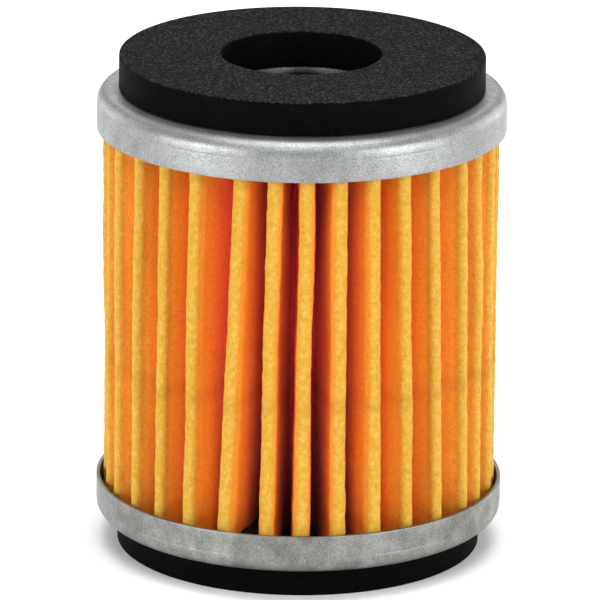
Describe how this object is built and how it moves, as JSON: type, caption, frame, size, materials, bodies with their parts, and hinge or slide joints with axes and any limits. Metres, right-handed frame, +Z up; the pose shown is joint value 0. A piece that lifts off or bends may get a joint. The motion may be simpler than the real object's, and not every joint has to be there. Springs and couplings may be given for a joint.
{
  "type": "oil filter",
  "caption": "Small-engine cartridge oil filter: a pleated paper element potted between steel end caps, with a rubber gasket glued to each end and an open passage up the centre.",
  "frame": {"origin": "centre of the lower gasket's outer face, on the filter's axis", "axes": "+Z up the filter's axis; -Y towards the viewer of the front; the lock seam of the centre tube is at +Y"},
  "size_m": [0.038, 0.038, 0.047],
  "materials": {
    "gasket_rubber": "matt closed-cell black rubber",
    "gasket_glue": "dried contact adhesive",
    "cap_steel": "dull zinc-plated pressed steel",
    "potting_compound": "cured black plastisol",
    "tube_steel": "perforated zinc-plated steel",
    "filter_paper": "resin-cured orange filter paper",
    "seam_glue": "cured amber adhesive"
  },
  "bodies": {
    "root": {"bottom_gasket": "gasket_rubber", "bottom_gasket_glue": "gasket_glue", "bottom_end_cap": "cap_steel", "bottom_potting": "potting_compound", "center_tube": "tube_steel", "pleated_paper": "filter_paper", "paper_seam_glue": "seam_glue", "top_potting": "potting_compound", "top_end_cap": "cap_steel", "top_gasket_glue": "gasket_glue", "top_gasket": "gasket_rubber"}
  },
  "joints": []
}
